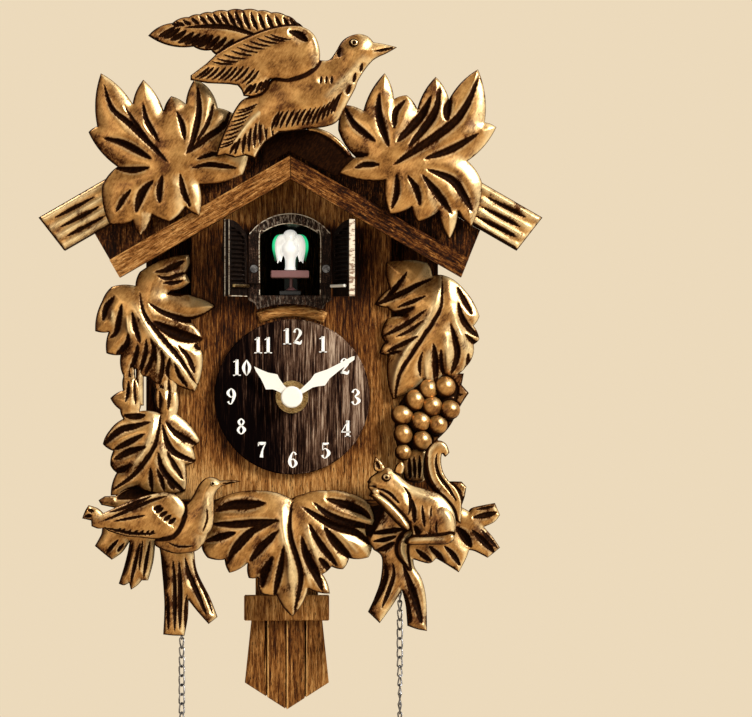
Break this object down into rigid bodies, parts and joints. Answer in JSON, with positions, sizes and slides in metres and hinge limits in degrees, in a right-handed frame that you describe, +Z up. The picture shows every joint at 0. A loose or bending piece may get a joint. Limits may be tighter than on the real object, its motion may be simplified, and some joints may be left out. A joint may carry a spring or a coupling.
{
  "type": "cuckoo clock",
  "caption": "Wall cuckoo clock with carved leaves and birds, a chalet roof, opening doors, a sliding cuckoo, turning hands, a swinging pendulum and chain-hung pinecones.",
  "frame": {"origin": "on the back panel's rear face, which lies on the wall, at the height of the dial's centre", "axes": "+Z up, -Y to the front, +X to the viewer's right"},
  "size_m": [0.2294, 0.0925, 0.4716],
  "materials": {
    "case_wood": "dark brown stain rubbed through to golden brown along the grain",
    "carved_bronze": "antiqued bronze paint, dark in the gouges",
    "dial_wood": "near-black printed wood grain with white numerals",
    "frame_wood": "grey-brown fine grain",
    "black_plastic": "moulded",
    "white_plastic": "moulded, slightly translucent",
    "mauve_plastic": "moulded",
    "brass": "plain",
    "dark_steel": "dark plated",
    "lamp_green": "clear lamp, green",
    "battery_sleeve": "printed sleeve with no marks"
  },
  "bodies": {
    "case": {"back_panel": "case_wood", "base_board": "case_wood", "battery": "battery_sleeve", "battery_box": "black_plastic", "beam_left": "carved_bronze", "beam_right": "carved_bronze", "crest_bird": "carved_bronze", "dial": "dial_wood", "dial_nut": "brass", "door_frame": "frame_wood", "fascia_left": "case_wood", "fascia_right": "case_wood", "frame_screw_left": "dark_steel", "frame_screw_right": "dark_steel", "front_panel": "case_wood", "gable_board": "case_wood", "grapes": "carved_bronze", "guide_rail": "black_plastic", "leaf_bottom": "carved_bronze", "leaf_left_lower": "carved_bronze", "leaf_left_upper": "carved_bronze", "leaf_right": "carved_bronze", "leaf_top_left": "carved_bronze", "leaf_top_right": "carved_bronze", "movement_case": "black_plastic", "roof_left": "case_wood", "roof_right": "case_wood", "screw_eye_left": "dark_steel", "screw_eye_right": "dark_steel", "side_left": "case_wood", "side_right": "case_wood", "small_bird": "carved_bronze", "speaker": "black_plastic", "squirrel": "carved_bronze", "threaded_bushing": "brass", "twigs_left": "carved_bronze", "twigs_right": "carved_bronze"},
    "minute_group": {"minute_hand": "white_plastic", "minute_shaft": "brass", "hand_cap": "white_plastic"},
    "hour_group": {"hour_hand": "white_plastic", "hour_tube": "brass"},
    "setter": {"set_knob": "white_plastic"},
    "cuckoo_slide": {"cuckoo": "white_plastic", "perch": "mauve_plastic", "slide_carriage": "black_plastic", "bird_lamp": "lamp_green"},
    "left_door": {"door_left": "frame_wood", "door_wire_left": "brass"},
    "right_door": {"door_right": "frame_wood", "door_wire_right": "brass"},
    "pendulum": {"pendulum_hanger": "dark_steel", "pendulum_neck": "case_wood", "pendulum_header": "case_wood", "pendulum_boards": "case_wood"},
    "left_weight": {"chain_left": "dark_steel", "cone_left": "carved_bronze"},
    "right_weight": {"chain_right": "dark_steel", "cone_right": "carved_bronze"},
    "cover": {"battery_cover": "black_plastic"}
  },
  "joints": [
    {"name": "minute_turn", "type": "hinge", "parent": "case", "child": "minute_group", "pos_m": [0.0004, 0, 0], "axis": [0, 1, 0], "continuous": true},
    {"name": "hour_turn", "type": "hinge", "parent": "case", "child": "hour_group", "pos_m": [0.0004, 0, 0], "axis": [0, 1, 0], "continuous": true},
    {"name": "set_turn", "type": "hinge", "parent": "case", "child": "setter", "pos_m": [0.016, 0, 0], "axis": [0, 1, 0], "continuous": true},
    {"name": "cuckoo_travel", "type": "slide", "parent": "case", "child": "cuckoo_slide", "axis": [0, 1, 0], "range_m": [0, 0.032]},
    {"name": "left_door_swing", "type": "hinge", "parent": "case", "child": "left_door", "pos_m": [-0.0198, -0.0597, 0.046], "axis": [0, 0, 1], "range_deg": [0, 116]},
    {"name": "right_door_swing", "type": "hinge", "parent": "case", "child": "right_door", "pos_m": [0.0188, -0.0597, 0.046], "axis": [0, 0, -1], "range_deg": [0, 116]},
    {"name": "pendulum_swing", "type": "hinge", "parent": "case", "child": "pendulum", "pos_m": [-0.0025, -0.0285, 0.02], "axis": [0, 1, 0], "range_deg": [-4, 4]},
    {"name": "left_weight_swing", "type": "hinge", "parent": "case", "child": "left_weight", "pos_m": [-0.0516, -0.03, -0.0594], "axis": [0, 1, 0], "range_deg": [-8, 8]},
    {"name": "right_weight_swing", "type": "hinge", "parent": "case", "child": "right_weight", "pos_m": [0.0502, -0.03, -0.0594], "axis": [0, 1, 0], "range_deg": [-8, 8]},
    {"name": "battery_cover_slide", "type": "slide", "parent": "case", "child": "cover", "axis": [0, 0, -1], "range_m": [0, 0.042]}
  ],
  "couplings": [
    {"joint": "hour_turn", "follows": "minute_turn", "ratio": 0.083333},
    {"joint": "set_turn", "follows": "minute_turn", "ratio": -1},
    {"joint": "left_door_swing", "follows": "cuckoo_travel", "rad_per_m": 63.25},
    {"joint": "right_door_swing", "follows": "cuckoo_travel", "rad_per_m": 63.25}
  ]
}
